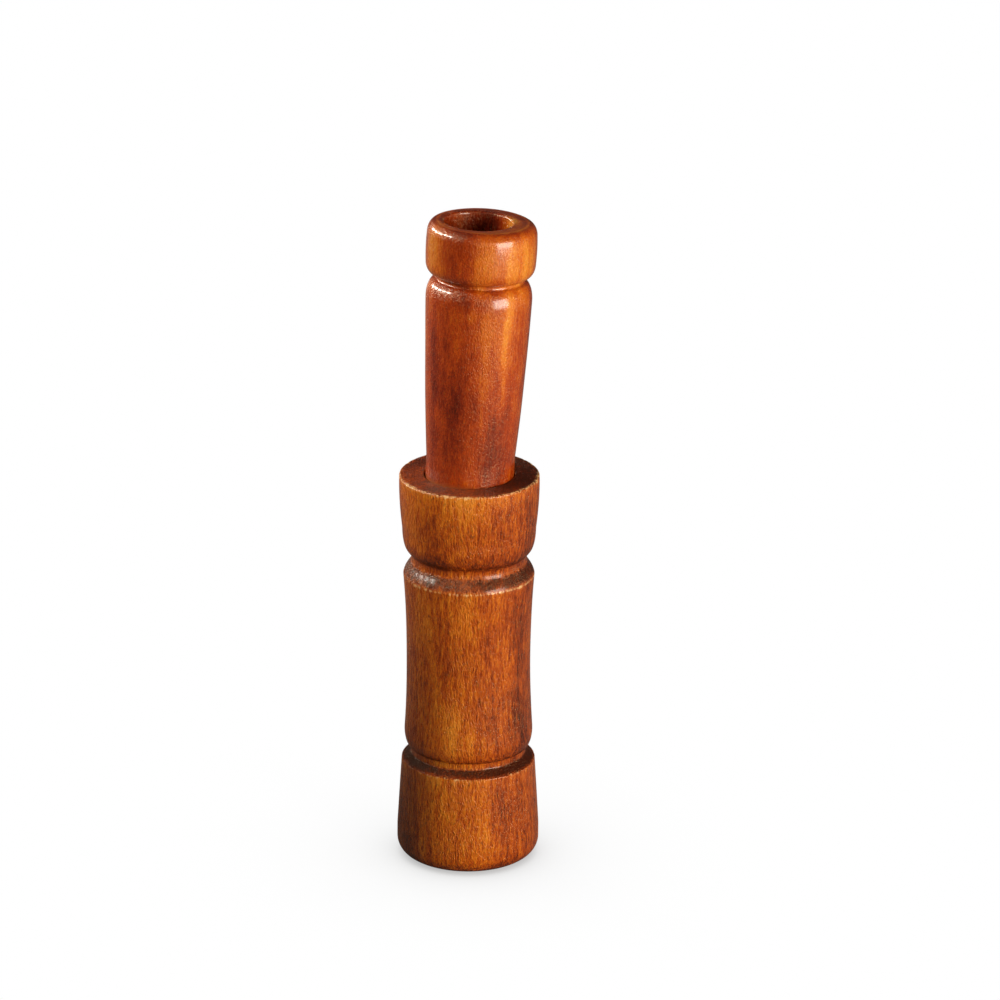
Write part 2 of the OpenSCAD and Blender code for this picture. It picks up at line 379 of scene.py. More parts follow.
barrel_corners = np.vstack([
    rise((FOOT_R - FOOT_ROUND, 0), (FOOT_R, FOOT_ROUND)),
    (FOOT_R, FOOT_WIDEST),
    LIP,
    (GROOVE_R, foot_groove_z),
    (GROOVE_R, body_z),
    rise((GROOVE_R + GROOVE_LEDGE, body_z), (BODY_END_R, body_z + BODY_ROUND)),
    swell((BODY_END_R, body_z + BODY_ROUND), (BODY_TOP_R, shoulder_z), -BODY_HOLLOW),
    swell((BODY_TOP_R, shoulder_z), (GROOVE_R, collar_groove_z), SHOULDER_SWELL)[1:],
    (GROOVE_R, collar_z),
    rise((GROOVE_R + GROOVE_LEDGE, collar_z), (COLLAR_FOOT_R, collar_z + COLLAR_ROUND)),
    swell((COLLAR_FOOT_R, collar_z + COLLAR_ROUND), (COLLAR_R, barrel_top), COLLAR_SWELL),
    (COLLAR_R - EDGE_BREAK, BARREL_LEN),
    (BORE_R + MOUTH_BREAK, BARREL_LEN),
    (BORE_R, BARREL_LEN - MOUTH_BREAK),
    (BORE_R, CHAMBER_Z),
    (MOUTH_BORE_R, MOUTH_BORE_Z),
    fold((MOUTH_BORE_R, MOUTH_LIP), (MOUTH_BORE_R + MOUTH_LIP, 0)),
])
groove_middle = (collar_groove_z + collar_z) / 2
barrel_rings = worn_outline(barrel_corners, RINGS, groove_middle, GROOVE_SOFT_HALF)
print("the barrel's outline has", len(barrel_corners), "points")

# %% [markdown]
# Stain never takes evenly. A few soft patches, each with its own place, size and amount, say
# where the wood is golden and where it is dark; the grain is laid over them later. Some patches
# are painted light and painted shade instead. They are given by angle and height. Level bands
# darken the slopes into the grooves, where the tool cut across the fibres, as stain and painted
# shade, and a band of painted light leaves the lower groove's floor lighter.

# %% Stain, painted light and painted shade
BAND_FADE = 0.25


def stain(height, patches, bands=()):
    """Sum of soft patches and level bands, at every angle. A patch is its amount times a bell
    curve of the angle, in degrees from the front to the right, and of the height. A band is
    its amount between two heights, with soft ends."""
    total = 0 * angle + 0 * height
    for middle, level, half_angle, half_height, amount in patches:
        aside = (np.degrees(angle) - middle + 180) % 360 - 180
        away = (aside / half_angle) ** 2 + ((height - level) / half_height) ** 2
        total = total + amount * np.exp(-away)
    for low, high, amount in bands:
        from_below = ramp(height, low - BAND_FADE, low)
        from_above = ramp(-height, -high - BAND_FADE, -high)
        total = total + amount * from_below * from_above
    return total


# Each patch: degrees from the front, height, half width in degrees, half height, amount.
# The patches at 68.6 and 25.2 mm are painted shade under the collar and under the body's end,
# and the one at 85.2 mm is painted light on the left of the collar's top.
BARREL_PATCHES = [
    (-22, 40, 36, 70, 0.20), (60, 40, 26, 70, -0.08), (-62, 78, 12, 8, 0.08),
    (-30, 72, 10, 5, -0.18), (-4, 80, 14, 6, 0.08), (8, 83.5, 45, 2.5, 0.14),
    (-42, 55, 14, 10, 0.10), (-26, 52, 9, 7, -0.14), (0, 57, 8, 9, 0.18),
    (-14, 44, 9, 6, -0.20), (-14, 31, 10, 6, 0.20), (12, 33, 10, 6, -0.12),
    (60, 32, 14, 8, -0.12), (14, 10, 6, 11, 0.18), (-14, 12, 14, 9, 0.14),
    (34, 15, 10, 7, -0.14), (24, 6, 8, 4, 0.08), (0, 68.6, 400, 2.2, -0.18),
    (0, 25.2, 400, 1.8, -0.14), (120, 60, 30, 20, -0.10), (170, 30, 35, 16, 0.12),
    (215, 72, 25, 10, -0.10), (250, 40, 20, 14, 0.10), (150, 10, 30, 9, 0.10),
    (225, 12, 24, 9, -0.08), (-95, 85.2, 55, 0.8, 0.22),
]
# Each band: lower height, upper height, amount. The first and the last darken the slopes as
# stain and painted shade; the middle one is painted light on the lower groove's floor.
BARREL_BANDS = [
    (LIP[1] + 0.4, foot_groove_z - 0.1, -0.30),
    (foot_groove_z + 0.5, body_z - 0.3, 0.10),
    (shoulder_z + 0.6, collar_groove_z - 0.2, -0.24),
]
print(len(BARREL_PATCHES), "patches and", len(BARREL_BANDS), "bands on the barrel")

# %% [markdown]
# The crease where the body turns into its upper groove is too blunt for the bend to find it, yet
# it is bright on the real call, partly rubbed and partly catching the light. So it gets its own
# line of wear by height, which is also a painted highlight. The bore is bare wood, and lacquer
# starts a little outside it.

# %% Mesh of the barrel
CREASE_HALF = 0.32
CREASE_WEAR_AND_HIGHLIGHT = 0.5
BARE_TO = 0.2
LACQUER_OUT = np.array([0.3, 1.2])
LACQUER_UP = (0.2, 1.0)
BARREL_UNCHIPPED = 0.75

point = barrel_rings["point"]
lacquered = ramp(point.real, *(BORE_R + LACQUER_OUT)) * ramp(point.imag, *LACQUER_UP)
# Wear and a painted highlight along the crease, by height
crease = CREASE_WEAR_AND_HIGHLIGHT * np.exp(-((point.imag - shoulder_z) / CREASE_HALF) ** 2)
rubbed_and_crease_highlight = np.maximum(barrel_rings["edge"], crease * (point.real > GROOVE_R))
chips = chipping(barrel_rings, seed=3, threshold=0.25)
radius, height = worked_surface(
    barrel_rings, seed=4, pitch=40, worked=lacquered, wear=rubbed_and_crease_highlight * chips,
)
barrel_points = turned_points(radius, height).reshape(-1, 3)
barrel_faces = loop_faces(RINGS, AROUND)
barrel_masks = spread({
    "edge": lacquered * rubbed_and_crease_highlight * (BARREL_UNCHIPPED + chips),
    "rub": lacquered * barrel_rings["rub"],
    "hollow": barrel_rings["hollow"],
    "bare": point.real < BORE_R + BARE_TO,
    "end_grain": barrel_rings["end_grain"],
    "stain": stain(point.imag, BARREL_PATCHES, BARREL_BANDS),
})
barrel = add_piece("barrel_turned", barrel_points, barrel_faces, "barrel",
                   "barrel", barrel_masks)
print("barrel:", round(volume(barrel_points, barrel_faces)), "cubic millimetres of wood")

# %% [markdown]
# ## The insert
# The insert is turned as straight as the barrel, but it has rocked on its rubber ring, to the
# right and to the back. It is built upright, and the same turn about the ring's middle then
# carries all that belongs to it. The axis of the joint insert_twist holds that lean. The flared
# opening was reamed a little off the axis.

# %% The lean of the insert
twist = next(joint for joint in frame["joints"] if joint["name"] == "insert_twist")
ring_middle = Vector(twist["pos_m"])
lean = Vector((0, 0, 1)).rotation_difference(Vector(twist["axis"]))
lean_matrix = np.array(lean.to_matrix())


def rocked(points):
    """Turns points in millimetres about the middle of the sealing ring by the insert's lean,
    and makes a list of a grid of them."""
    middle = np.array(ring_middle) / MM
    return (points.reshape(-1, 3) - middle) @ lean_matrix.T + middle


print("the insert leans by", round(math.degrees(lean.angle), 2), "degrees")

# %% Sizes of the insert, in millimetres
INSERT_REACH = 54.6
NECK_FOOT_R = 9.25
NECK_FOOT_LEN = 4.0
NECK_R = 11.025
NECK_SWELL = 0.2
NECK_ROUND = 4.0
NECK_GROOVE_R = 9.2
NECK_GROOVE_W = 1.0
BEAD_R = 11.4
BEAD_LEN = 11.3
BEAD_ROUND = 2.6
BEAD_CROWN = 1.9
BEAD_SWELL = 0.1
TENON_LEN = 14.0
TENON_TIP_R = 8.7
RING_R = 8.547
RING_SECTION = 1.8
RING_PLAY = 0.05
EXHAUST_R = 5.2
SOCKET_R = 6.15
SOCKET_LEN = 18.0
FLARE_R = 7.6
FLARE_LEN = 24.0
FLARE_DRIFT = 0.9
FLARE_LIP = 0.5

ring_z = ring_middle.z / MM
tenon_z = BARREL_LEN - TENON_LEN
top_z = BARREL_LEN + INSERT_REACH
bead_z = top_z - BEAD_LEN
neck_groove_z = bead_z - NECK_GROOVE_W
neck_shoulder_z = neck_groove_z - NECK_ROUND
neck_foot_z = BARREL_LEN + NECK_FOOT_LEN
ring_floor_r = RING_R - RING_SECTION / 2 - RING_PLAY
ring_low, ring_high = ring_z + np.array([-1, 1]) * (RING_SECTION / 2 + RING_PLAY)
print("the insert is", round(top_z - tenon_z, 1), "mm long")

# %% Outline of the insert
def tenon_r(height):
    """Radius of the tenon's straight taper."""
    return TENON_TIP_R + (NECK_FOOT_R - TENON_TIP_R) * (height - tenon_z) / TENON_LEN


insert_corners = np.vstack([
    (TENON_TIP_R - EDGE_BREAK, tenon_z),
    (TENON_TIP_R, tenon_z + EDGE_BREAK),
    (tenon_r(ring_low), ring_low),
    (ring_floor_r, ring_low),
    (ring_floor_r, ring_high),
    (tenon_r(ring_high), ring_high),
    (NECK_FOOT_R, BARREL_LEN),
    swell((NECK_FOOT_R, neck_foot_z), (NECK_R, neck_shoulder_z), NECK_SWELL),
    fold((NECK_R, neck_shoulder_z), (NECK_GROOVE_R, neck_groove_z)),
    (NECK_GROOVE_R, bead_z),
    rise((NECK_GROOVE_R + GROOVE_LEDGE, bead_z), (BEAD_R, bead_z + BEAD_ROUND)),
    swell((BEAD_R, bead_z + BEAD_ROUND), (BEAD_R, top_z - BEAD_ROUND), BEAD_SWELL),
    fold((BEAD_R, top_z - BEAD_ROUND), (BEAD_R - BEAD_CROWN, top_z)),
    fold((FLARE_R - FLARE_LIP, top_z - FLARE_LIP), (FLARE_R, top_z))[::-1],
    (EXHAUST_R, top_z - FLARE_LEN),
    (EXHAUST_R, tenon_z + SOCKET_LEN),
    (SOCKET_R, tenon_z + SOCKET_LEN),
    (SOCKET_R, tenon_z),
])
insert_rings = worn_outline(insert_corners, RINGS)
print("the insert's outline has", len(insert_corners), "points")

# %% Stain, painted light and painted shade of the insert
# Painted sheen: the two patches at 22 degrees, on the neck and on the bead
# The patch at 125 mm darkens the band of the neck's shoulder just below the bead
INSERT_PATCHES = [
    (-62, 133, 20, 8, 0.34), (-30, 133, 11, 6, -0.10), (0, 131, 10, 8, 0.30),
    (56, 133, 26, 8, 0.42), (14, 136, 24, 4, 0.12), (-82, 117, 10, 12, 0.16),
    (35, 117, 8, 10, 0.40), (10, 117, 7, 10, 0.16), (60, 112, 16, 16, 0.14),
    (-55, 108, 7, 22, -0.14), (-22, 103, 8, 6, -0.14), (2, 99, 7, 6, -0.10),
    (-50, 118, 8, 8, -0.08), (-14, 116, 9, 10, -0.06), (-30, 99, 22, 10, -0.16),
    (-37, 117, 7, 6, -0.14), (22, 118.5, 7, 6, 0.16), (22, 133, 13, 6, 0.14),
    (-14, 95, 6, 8, 0.02), (28, 93, 18, 10, -0.28), (52, 94, 14, 10, -0.12),
    (-10, 125.0, 26, 1.8, -0.30), (110, 120, 25, 20, -0.12), (165, 105, 30, 14, 0.14),
    (190, 133, 30, 9, -0.14), (230, 98, 25, 16, 0.10),
]
# Painted light: the flare patch at 105 degrees, where the lamps reach the right wall
# Stain and painted shade of the rim: the one at 175 degrees, on the back wall
# The one at 250 degrees darkens the left wall a little
FLARE_PATCHES = [
    (175, 136, 42, 4, -0.42), (250, 138, 36, 4, -0.06), (105, 138, 34, 6, 0.50),
]
print(len(INSERT_PATCHES), "patches on the insert and", len(FLARE_PATCHES), "in its flare")

# %% [markdown]
# Only the flare is off the axis. In the direction of each angle, the edge of a circle that lies
# to the left of the axis is nearer or further than its own radius, and the wall of the straight
# bore shows where it is the wider one. The crown of the bead is rubbed along its inner crease,
# and below the stained mouth the bore is darkened with painted shade.

# %% Parts of the insert's surface
BORE_SHADE_DEPTH = 15.0
CROWN_CREASE = 0.22
CROWN_RUB = 0.45
SHOWN_UP = np.array([0.5, 2.0])


def off_axis(radius, drift):
    """Distance from the axis to the edge of a circle whose middle lies drift to the left, in
    each direction."""
    side = drift * np.cos(angle)
    return np.sqrt(radius ** 2 - side ** 2) - drift * np.sin(angle)


point = insert_rings["point"]
is_bore = (insert_rings["outward"].real < 0) & (point.real < FLARE_R + FLARE_LIP)
is_lip = (point.imag > top_z - FLARE_LIP / 2) & (point.real < FLARE_R)
is_flare = is_bore & (point.imag > top_z - FLARE_LEN) | is_lip
is_top = point.imag > top_z - FLARE_LIP
# Painted shade in the bore: none near the mouth, full from about 15 mm down
bore_shade = 1 - ramp(point.imag, top_z - BORE_SHADE_DEPTH, top_z - BORE_SHADE_DEPTH / 2)
shown = ramp(point.imag, *(BARREL_LEN + SHOWN_UP)) * (1 - is_bore)
crown = np.exp(-((point.real - BEAD_R + BEAD_CROWN) / CROWN_CREASE) ** 2) * is_top
print(is_flare.sum(), "of", RINGS, "rings lie in the flare")

# %% Mesh of the insert
# Strength of the painted shade deep in the insert's bore
BORE_PAINTED_SHADE = 2.0
INSERT_UNCHIPPED = 0.35

chips = chipping(insert_rings, seed=13, threshold=0.35)
radius, height = worked_surface(
    insert_rings, seed=14, pitch=35, worked=shown, wear=insert_rings["edge"] * chips,
)
reamed = np.maximum(EXHAUST_R, off_axis(radius, FLARE_DRIFT))
radius = np.where(is_flare, reamed, radius)
insert_points = rocked(turned_points(radius, height))
insert_faces = loop_faces(RINGS, AROUND)
worn_edge = insert_rings["edge"] * (INSERT_UNCHIPPED + chips)
flare_stain_and_painted_light = stain(point.imag, FLARE_PATCHES)
insert_masks = spread({
    "edge": worn_edge * ramp(point.imag, BARREL_LEN, BARREL_LEN + 1),
    "rub": (insert_rings["rub"] + CROWN_RUB * crown) * shown,
    # Hollows for pooled stain, and painted shade deep in the bore
    "hollow": np.maximum(insert_rings["hollow"], BORE_PAINTED_SHADE * is_bore * bore_shade),
    "bare": 1 - ramp(point.imag, BARREL_LEN - 1, BARREL_LEN),
    "end_grain": insert_rings["end_grain"] * (1 - is_bore),
    "stain": np.where(is_bore, flare_stain_and_painted_light, stain(point.imag, INSERT_PATCHES)),
})
insert = add_piece("insert_turned", insert_points, insert_faces, "insert",
                   "insert", insert_masks)
print("insert:", round(volume(insert_points, insert_faces)), "cubic millimetres of wood")

# %% [markdown]
# ## Shader maths as plain expressions
# A finish is a small calculation on every point of a surface. Wiring Math nodes by hand hides
# that calculation, so a small class wraps a node's output: arithmetic on it adds the Math nodes,
# and one method adds any other node.

# %% A wire that does arithmetic
def set_stops(color_ramp, stops):
    """Gives a ramp its (position, colour) stops."""
    while len(color_ramp.elements) < len(stops):
        color_ramp.elements.new(0.5)
    for element, (position, colour) in zip(color_ramp.elements, stops):
        element.position = position
        element.color = (*colour, 1.0)


class Wire:
    """An output of a node in a material. Arithmetic on wires and numbers adds Math nodes."""

    def __init__(self, tree, socket=None):
        self.tree = tree
        self.socket = socket

    def node(self, kind, settings=(), inputs=(), output=0):
        """Adds a node of that kind. Settings come first, a ramp's stops among them, then each
        input's value or wire."""
        made = self.tree.nodes.new(kind)
        for name, value in dict(settings).items():
            if name == "stops":
                set_stops(made.color_ramp, value)
            else:
                setattr(made, name, value)
        for name, value in dict(inputs).items():
            if isinstance(value, Wire):
                self.tree.links.new(value.socket, made.inputs[name])
            else:
                made.inputs[name].default_value = value
        return Wire(self.tree, made.outputs[output])

    def math(self, operation, *terms):
        """One Math node on these terms."""
        return self.node("ShaderNodeMath", {"operation": operation}, dict(enumerate(terms)))

    def __add__(self, other):
        return self.math("ADD", self, other)

    def __sub__(self, other):
        return self.math("SUBTRACT", self, other)

    def __rsub__(self, other):
        return self.math("SUBTRACT", other, self)

    def __mul__(self, other):
        return self.math("MULTIPLY", self, other)

    __radd__ = __add__
    __rmul__ = __mul__

    def between(self, low, high):
        """Smooth step from 0 at low to 1 at high."""
        limits = {"Value": self, "From Min": low, "From Max": high}
        return self.node("ShaderNodeMapRange", {"interpolation_type": "SMOOTHSTEP"}, limits)

    def swing(self, amount):
        """Noise about its middle, a half, times an amount."""
        return (self - 0.5) * amount

    def vector(self, operation, *terms, output=0):
        """One Vector Math node on these terms."""
        settings = {"operation": operation}
        return self.node("ShaderNodeVectorMath", settings, dict(enumerate(terms)), output)

    def speckle(self, across, along, detail=2.0, roughness=0.5):
        """Noise over a place in metres, with features of that many millimetres across and
        along the grain."""
        stretch = (1 / (across * MM), 1 / (across * MM), 1 / (along * MM))
        values = {"Vector": self.vector("MULTIPLY", self, stretch), "Scale": 1.0,
                  "Detail": detail, "Roughness": roughness}
        return self.node("ShaderNodeTexNoise", {}, values)

    def coloured(self, stops):
        """Colour of a ramp at this value."""
        return self.node("ShaderNodeValToRGB", {"stops": stops}, {"Fac": self})

    def mix(self, other, share):
        """Colour part of the way to another."""
        ends = {0: share, 6: self, 7: other}
        return self.node("ShaderNodeMix", {"data_type": "RGBA"}, ends, output=2)

    def bump(self, strength, depth):
        """Normal of a surface that this height raises, by a depth in millimetres."""
        values = {"Strength": strength, "Distance": depth * MM, "Height": self}
        return self.node("ShaderNodeBump", {}, values)


print("the wire adds", [name for name in vars(Wire) if name.startswith("__r")])

# %% Start and feed a finish
def new_finish(piece, name, **constants):
    """Gives a piece a material whose shader has these constants on its own sockets. Returns
    the shader and a wire of the place in the piece, in metres."""
    material = bpy.data.materials.new(name)
    material.use_nodes = True
    piece.data.materials.append(material)
    shader = material.node_tree.nodes["Principled BSDF"]
    for socket, value in constants.items():
        shader.inputs[socket.replace("_", " ")].default_value = value
    return shader, Wire(material.node_tree).node("ShaderNodeTexCoord", output="Object")


def feed(shader, **wires):
    """Links wires to the shader's sockets, with spaces for underscores."""
    for socket, wire in wires.items():
        wire.tree.links.new(wire.socket, shader.inputs[socket.replace("_", " ")])


def mask_of(wire, part):
    """A mask that the piece's points carry."""
    return wire.node("ShaderNodeAttribute", {"attribute_name": part}, output="Fac")


print("materials before the finishes:", len(bpy.data.materials))

# %% [markdown]
# ## Lacquered wood
# The wood is a pale close-grained one, stained reddish brown and lacquered. One number, the tone,
# says how golden or dark a point is, and a ramp turns it into colour. Pores, painted glints,
# pooled stain that also gives painted shade in the bore, rubbed edges that also give a painted
# highlight on the crease, and raw wood have colours of their own.

# %% Colours of the wood
BARREL_TONES = [
    (0.00, (0.050, 0.0045, 0.0006)),
    (0.25, (0.185, 0.0200, 0.0010)),
    (0.50, (0.410, 0.0600, 0.0017)),
    (0.75, (0.610, 0.1380, 0.0045)),
    (1.00, (0.780, 0.2500, 0.0180)),
]
INSERT_TONES = [
    (0.00, (0.050, 0.0030, 0.0006)),
    (0.25, (0.190, 0.0120, 0.0008)),
    (0.50, (0.400, 0.0420, 0.0014)),
    (0.75, (0.620, 0.1250, 0.0045)),
    (1.00, (0.800, 0.2800, 0.0220)),
]
PORE = (0.070, 0.008, 0.001, 1.0)
# Painted glint: light flecks on single fibres, standing for sheen broken by the grain
GLINT = (0.800, 0.270, 0.012, 1.0)
# Stain pooled in the hollows, and the painted shade deep in the insert's bore
POOLED_STAIN_AND_SHADE = (0.055, 0.008, 0.002, 1.0)
# Pale wood at worn edges; along the barrel's crease it is also a painted highlight
BARE_EDGE_AND_CREASE_HIGHLIGHT = (0.860, 0.520, 0.220, 1.0)
RAW_WOOD = (0.380, 0.160, 0.055, 1.0)
WARM_SHEEN = (1.0, 0.74, 0.42, 1.0)
print("each wood runs through", len(BARREL_TONES), "tones")

# %% [markdown]
# The wood's colour is a solid in three dimensions: fibres run along the grain, and on the end
# faces the same fibres show as specks. So the noise is stretched along the piece's own axis,
# which a Mapping node sets upright for the leaning insert, and a wide slow noise makes the fibres
# wander.

# %% Fibres
SWAY_SCALE = 150.0
SWAY = (0.0016, 0.0016, 0.0)
DASH_LEN = 0.4


def set_upright(place, turn, middle):
    """Place in a piece whose axis is turned about a middle point, as if it stood upright."""
    leaning = {"Vector": place, "Location": middle, "Rotation": turn}
    return place.node("ShaderNodeMapping", {"vector_type": "TEXTURE"}, leaning)


def wandering(place):
    """Place moved sideways: a slow noise's colour times the sway, plus the place."""
    slow = {"Vector": place, "Scale": SWAY_SCALE, "Detail": 2.0}
    noise = place.node("ShaderNodeTexNoise", {}, slow, output="Color")
    return place.vector("MULTIPLY_ADD", noise, SWAY, place)


def wood_noises(place, bent, fibre_len):
    """Noises from the widest to the finest. Those on the bent place wander with the fibres,
    and the peel is that of the lacquer."""
    return {
        "blotch": place.speckle(across=8, along=20, detail=3),
        "mottle": bent.speckle(across=2.6, along=5),
        "streak": bent.speckle(across=0.8, along=14, detail=3, roughness=0.6),
        "fibre": bent.speckle(across=0.36, along=fibre_len, detail=4, roughness=0.7),
        "dash": bent.speckle(across=0.28, along=fibre_len * DASH_LEN, detail=1),
        "peel": place.speckle(across=0.35, along=0.5, detail=1),
    }


print("fibres wander over about", round(1 / SWAY_SCALE / MM, 1), "mm")

# %% [markdown]
# The tone adds up blotches, streaks, fibres, growth rings, knots and stain, with the painted
# light and painted shade among the stain patches. Growth rings lie round the tree's heart, which
# is outside the piece, and a knot is a small swirl with rings of its own. Rubbed places are more
# golden, and end grain drinks more stain, so it is darker.

# %% Tone of the wood
TONE_MIDDLE = 0.48
TONE_OF = {"blotch": 0.45, "mottle": 0.32, "streak": 0.75, "fibre": 1.35, "growth": 0.03,
           "rub": 0.8, "speck": 0.35, "knot": 0.07}
HEART_SCALE = (1000, 1000, 20)
GROWTH_TURN = 1.9
GROWTH_WAVER = 14.0
KNOT_RING = 0.0011
KNOT_FADE = (0.0012, 0.0042)


def growth_rings(place, pith, blotch):
    """Sine of the distance from the heart, in millimetres, which the blotches make waver."""
    from_heart = place.vector("SUBTRACT", place, pith)
    across = place.vector("MULTIPLY", from_heart, HEART_SCALE)
    distance = place.vector("LENGTH", across, output="Value")
    return place.math("SINE", distance * GROWTH_TURN + blotch * GROWTH_WAVER)


def knot_swirl(bent, knot, mottle):
    """Sine of the distance from a knot, one wave to a ring, that fades outwards."""
    away = bent.vector("DISTANCE", bent, knot, output="Value") + mottle.swing(2 * KNOT_RING)
    rings = bent.math("SINE", away * (2 * math.pi / KNOT_RING))
    return rings * (1 - away.between(*KNOT_FADE))


def wood_tone(noise, mask, growth, swirls, open_grain, thirst):
    """Middle tone, plus each noise about its own middle, growth rings, the patches of colour
    and of painted light and shade, and rub, less what the end grain drinks, plus the swirls."""
    swung = {part: noise[part].swing(TONE_OF[part])
             for part in ("blotch", "mottle", "streak", "fibre")}
    tone = TONE_MIDDLE + swung["blotch"] + swung["mottle"]
    tone = tone + (swung["streak"] + swung["fibre"]) * open_grain + growth * TONE_OF["growth"]
    tone = tone + mask["stain"] + mask["rub"] * TONE_OF["rub"]
    tone = tone + mask["end_grain"] * (noise["peel"].swing(TONE_OF["speck"]) - thirst)
    for swirl in swirls:
        tone = tone + swirl * TONE_OF["knot"]
    return tone


print("a knot's rings are", KNOT_RING / MM, "mm apart")

# %% [markdown]
# Over the toned wood come dark pores, single fibres lightened as painted glints, stain pooled in
# the hollows with painted shade deep in the insert's bore, edges worn through to pale wood, with
# a painted highlight along the barrel's crease, and raw wood inside. Fibres also stand up a
# little
# under the lacquer: the same noise feeds the bump, which breaks the sheen into fine dashes. End
# grain takes up the lacquer, so less of it lies on top.

# %% Colour and height of the wood
PORE_LIMITS, PORE_SHARE = (0.60, 0.70), 0.6
GLINT_LIMITS, GLINT_SHARE = (0.56, 0.68), 0.3
FIBRE_GLINT, DASH_GLINT = 0.6, 0.4
WEAR_LIMITS, WEAR_SHARE, WEAR_SWING = (0.30, 0.60), 0.75, 1.5
RAW_LEAST, RAW_STREAKS = 0.2, 0.7
FIBRE_HEIGHT, DASH_HEIGHT, STREAK_HEIGHT = 0.8, 0.7, 0.3
PEEL_HEIGHT, PEEL_END = 0.3, 0.4
END_CALM = 0.35


def wood_colour(colour, noise, mask, pore, open_grain, pooling_and_shade):
    """Toned colour with pores, painted glints, darker hollows, worn edges and raw wood laid
    over it. Hollows darken by pooling, and deep in the bore by painted shade; worn edges
    include the painted highlight along the barrel's crease.
    """
    # Painted glints: light flecks on single fibres
    thread = noise["fibre"] * FIBRE_GLINT + noise["dash"] * DASH_GLINT
    glint = thread.between(*GLINT_LIMITS) * open_grain * (1 - mask["end_grain"])
    # Worn edges, and the painted highlight along the barrel's crease
    worn_and_crease_highlight = (mask["edge"] + noise["fibre"].swing(WEAR_SWING)).between(*WEAR_LIMITS)
    colour = colour.mix(PORE, pore * PORE_SHARE).mix(GLINT, glint * GLINT_SHARE)
    # Darker hollows: pooled stain, and painted shade deep in the insert's bore
    colour = colour.mix(POOLED_STAIN_AND_SHADE, mask["hollow"] * pooling_and_shade).mix(BARE_EDGE_AND_CREASE_HIGHLIGHT, worn_and_crease_highlight * WEAR_SHARE)
    return colour.mix(RAW_WOOD, mask["bare"] * (RAW_LEAST + noise["streak"] * RAW_STREAKS))


def wood_height(noise, mask, relief):
    """Fibres, dashes and streaks, calmer on end grain, plus the lacquer's peel."""
    lines = noise["fibre"] * FIBRE_HEIGHT + noise["dash"] * DASH_HEIGHT
    lines = lines + noise["streak"] * STREAK_HEIGHT
    lines = lines * relief * (1 - mask["end_grain"] * END_CALM)
    return lines + noise["peel"] * (PEEL_HEIGHT + mask["end_grain"] * PEEL_END)


print("pores take up to", PORE_SHARE, "of the colour")

# %% Wood finish
ORIGIN = (0.0, 0.0, 0.0)
MASKS = ("edge", "rub", "hollow", "bare", "end_grain", "stain")
FIBRE_ROUGH, BARE_ROUGH, PORE_ROUGH, END_ROUGH = 0.25, 0.25, 0.1, 0.4
COAT_SOAK = 3.4


def lacquered_wood(piece, name, tones, pith, open_grain, fibre_len, thirst, pooling_and_shade, relief,
                   shine, coat, coat_shine, turn=ORIGIN, middle=ORIGIN, knots=()):
    """Finish of a turned piece whose axis is turned about a middle point. The pith is where
    the tree's heart lay and knots are the middles of small swirls, in metres. Open_grain
    scales the fibres and pores, fibre_len is their length in millimetres, thirst is how much
    darker end grain is, pooling how dark the hollows are, from pooled colour and from
    painted shade in the bore, relief how far the fibres stand up, and shine the wood's usual
    roughness. Coat is how much lacquer lies on it, and coat_shine the lacquer's own roughness."""
    shader, place = new_finish(
        piece, name, Specular_IOR_Level=0.55, Specular_Tint=WARM_SHEEN,
        Coat_Roughness=coat_shine,
    )
    place = set_upright(place, turn, middle)
    bent = wandering(place)
    noise = wood_noises(place, bent, fibre_len)
    mask = {part: mask_of(place, part) for part in MASKS}
    growth = growth_rings(place, pith, noise["blotch"])
    swirls = [knot_swirl(bent, knot, noise["mottle"]) for knot in knots]
    tone = wood_tone(noise, mask, growth, swirls, open_grain, thirst)
    pore = noise["dash"].between(*PORE_LIMITS) * open_grain
    colour = wood_colour(tone.coloured(tones), noise, mask, pore, open_grain, pooling_and_shade)
    bump = wood_height(noise, mask, relief).bump(strength=0.8, depth=0.4)
    roughness = shine + noise["fibre"].swing(FIBRE_ROUGH) + mask["bare"] * BARE_ROUGH
    roughness = roughness + pore * PORE_ROUGH + mask["end_grain"] * thirst * END_ROUGH
    coat = place.math("MAXIMUM", coat - mask["end_grain"] * (thirst ** 2 * COAT_SOAK), 0.0)
    feed(shader, Base_Color=colour, Roughness=roughness, Coat_Weight=coat, Normal=bump)


print("a wood finish reads", len(MASKS), "masks")

# %% The two woods
lacquered_wood(
    barrel, "barrel_lacquer", BARREL_TONES, pith=(-0.021, 0.034, 0), open_grain=1.0,
    fibre_len=2.4, thirst=0.5, pooling_and_shade=0.45, relief=1.0, shine=0.29, coat=0.45,
    coat_shine=0.17, knots=[(-0.0068, -0.0120, 0.0733)],
)
lacquered_wood(
    insert, "insert_lacquer", INSERT_TONES, pith=(0.025, 0.03, 0), open_grain=0.45,
    fibre_len=1.3, thirst=0.16, pooling_and_shade=0.35, relief=0.6, shine=0.27, coat=0.75,
    coat_shine=0.15, turn=tuple(lean.to_euler()), middle=tuple(ring_middle),
)
print("wood finishes:", barrel.active_material.name, insert.active_material.name)

# %% [markdown]
# ## The sealing ring
# A moulded rubber ring sits in a groove of the insert's tenon. The two halves of its mould leave
# a fine seam round its outside and inside. A torus would lack the seam, so the section's radius
# is a function of its own angle.

# %% Sealing ring
SECTION_POINTS = 48
SEAM = 0.02
SEAM_WIDTH = 0.07

